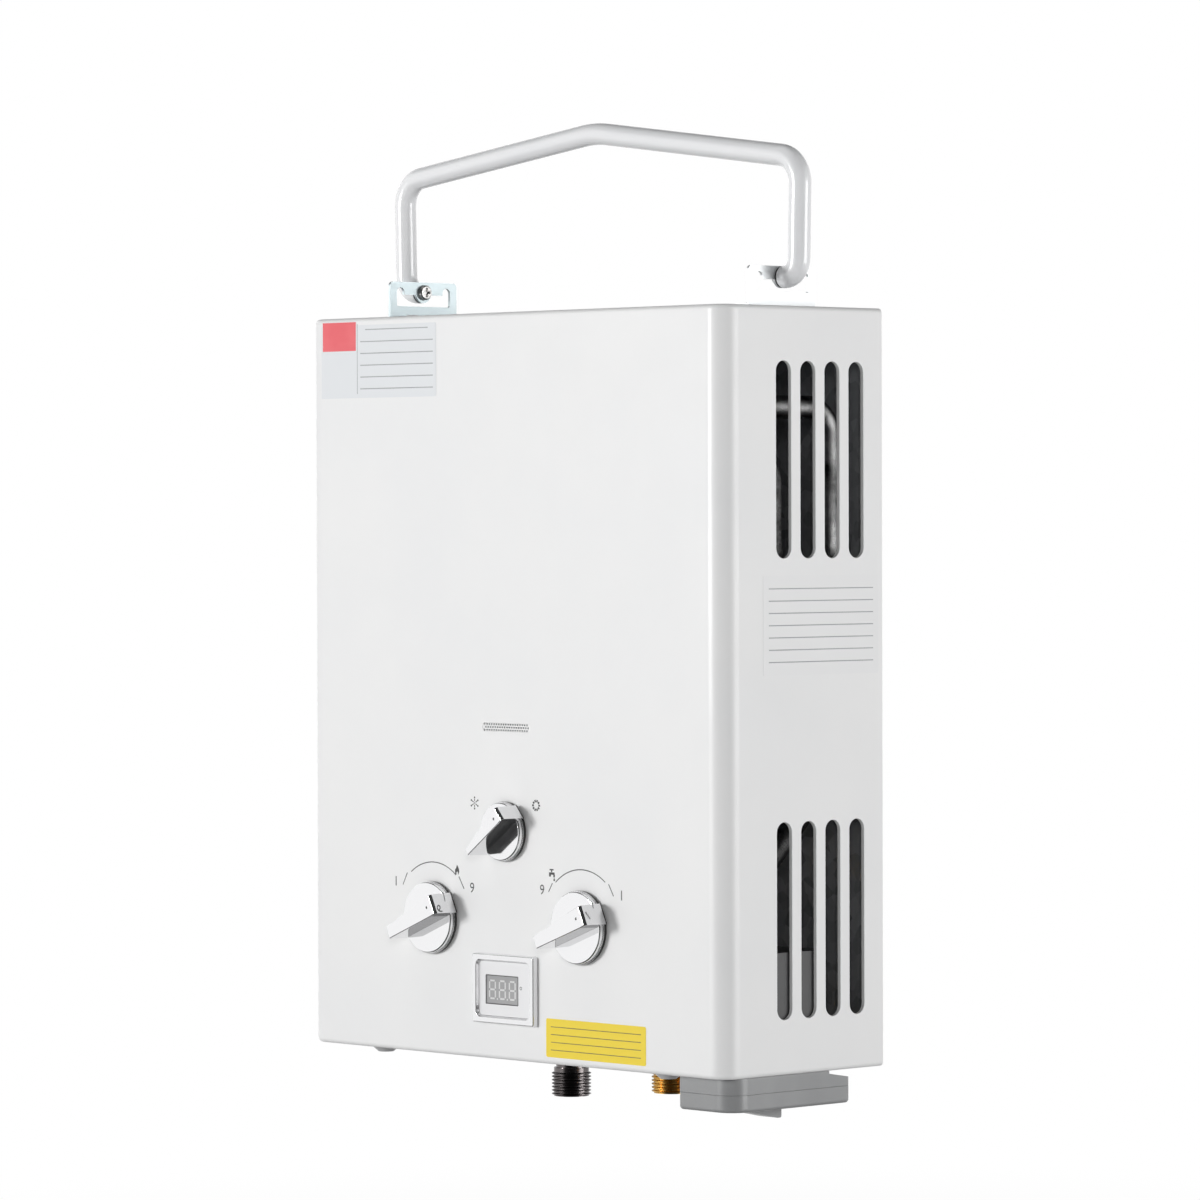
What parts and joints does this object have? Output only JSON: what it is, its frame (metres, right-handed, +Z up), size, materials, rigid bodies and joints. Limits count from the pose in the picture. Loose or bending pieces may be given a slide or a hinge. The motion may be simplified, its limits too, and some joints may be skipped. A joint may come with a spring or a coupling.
{
  "type": "portable propane water heater",
  "caption": "Portable tankless gas water heater in a flat white sheet-metal case with a folding carrying handle, chrome control knobs, a small display and a battery box below.",
  "frame": {"origin": "on the wall plane, in the middle of the casing's width, level with the casing's underside", "axes": "+X to the right of someone facing the front, +Y into the wall, +Z up; the front faces -Y"},
  "size_m": [0.3182, 0.132, 0.514],
  "materials": {
    "case_white": "satin",
    "handle_white": "gloss",
    "zinc_sheet": "satin",
    "bracket_zinc": "satin",
    "bracket_light": "satin",
    "grille_white": "satin",
    "screw_steel": "satin",
    "screw_pale": "satin",
    "label_film": "matte",
    "tinned_copper": "satin",
    "brass": "satin",
    "stainless": "satin",
    "cast_alloy": "matte",
    "dark_nickel": "gloss",
    "ceramic": "gloss",
    "black_plastic": "matte",
    "diaphragm_rubber": "matte",
    "knob_chrome": "mirror",
    "bezel_chrome": "mirror",
    "display_silver": "satin",
    "display_glass": "gloss",
    "battery_grey": "matte",
    "cell_wrap": "gloss"
  },
  "bodies": {
    "casing": {"front_shell": "case_white", "back_plate": "zinc_sheet", "bottom_plate": "zinc_sheet", "case_screws": "screw_pale", "flue_grille": "grille_white", "flue_hood": "zinc_sheet", "window_mesh": "grille_white", "blank_labels": "label_film", "carry_rails": "zinc_sheet", "bracket_left": "bracket_zinc", "bracket_right": "bracket_light", "chamber_jacket": "tinned_copper", "heat_fins": "tinned_copper", "exchanger_tubes": "tinned_copper", "return_bends": "tinned_copper", "jacket_coil": "tinned_copper", "hot_pipe": "tinned_copper", "cold_pipe": "tinned_copper", "pipe_nuts": "brass", "overheat_cutout": "black_plastic", "burner_tray": "zinc_sheet", "burner_bars": "stainless", "gas_manifold": "cast_alloy", "gas_nozzles": "brass", "electrode_sleeves": "ceramic", "electrode_rods": "stainless", "gas_valve_body": "cast_alloy", "season_valve_body": "cast_alloy", "gas_solenoid": "black_plastic", "diaphragm_cover": "cast_alloy", "diaphragm": "diaphragm_rubber", "water_valve_body": "brass", "housing_screws": "screw_steel", "microswitch": "black_plastic", "chassis_brackets": "zinc_sheet", "gas_inlet_fitting": "dark_nickel", "water_inlet_fitting": "brass", "water_outlet_fitting": "brass", "display_bezel": "bezel_chrome", "display_plate": "display_silver", "display_window": "display_glass", "display_housing": "black_plastic", "igniter_box": "black_plastic", "battery_case": "battery_grey", "battery_cells": "cell_wrap", "battery_contacts": "stainless"},
    "handle": {"carry_handle": "handle_white", "handle_plugs": "handle_white", "handle_washers": "black_plastic", "pivot_screws": "screw_steel"},
    "gas_control": {"gas_knob": "knob_chrome", "gas_spindle": "stainless"},
    "water_control": {"water_knob": "knob_chrome", "water_spindle": "stainless"},
    "season_control": {"season_knob": "knob_chrome", "season_spindle": "stainless"},
    "battery_lid": {"battery_door": "battery_grey"},
    "battery_catch": {"battery_latch": "battery_grey"},
    "gas_pin": {"valve_pin": "stainless"},
    "flow_switch": {"switch_lever": "stainless"}
  },
  "joints": [
    {"name": "handle_hinge", "type": "hinge", "parent": "casing", "child": "handle", "pos_m": [0, -0.0513, 0.4054], "axis": [1, 0, 0], "range_deg": [-90, 90]},
    {"name": "gas_turn", "type": "hinge", "parent": "casing", "child": "gas_control", "pos_m": [-0.059, -0.115, 0.072], "axis": [0, -1, 0], "range_deg": [0, 120]},
    {"name": "water_turn", "type": "hinge", "parent": "casing", "child": "water_control", "pos_m": [0.055, -0.115, 0.072], "axis": [0, -1, 0], "range_deg": [0, 120]},
    {"name": "season_turn", "type": "hinge", "parent": "casing", "child": "season_control", "pos_m": [-0.002, -0.115, 0.1194], "axis": [0, -1, 0], "range_deg": [0, 98]},
    {"name": "lid_hinge", "type": "hinge", "parent": "casing", "child": "battery_lid", "pos_m": [0.13735, -0.0194, -0.00835], "axis": [1, 0, 0], "range_deg": [0, 95]},
    {"name": "catch_slide", "type": "slide", "parent": "battery_lid", "child": "battery_catch", "axis": [0, 1, 0], "range_m": [0, 0.0035]},
    {"name": "pin_slide", "type": "slide", "parent": "casing", "child": "gas_pin", "axis": [-1, 0, 0], "range_m": [0, 0.003], "stiffness_N_per_m": 300},
    {"name": "lever_turn", "type": "hinge", "parent": "casing", "child": "flow_switch", "pos_m": [0.0024, -0.092, 0.072], "axis": [0, 0, 1], "range_deg": [0, 7.2]}
  ],
  "couplings": [
    {"joint": "lever_turn", "follows": "pin_slide", "rad_per_m": 41.667}
  ]
}
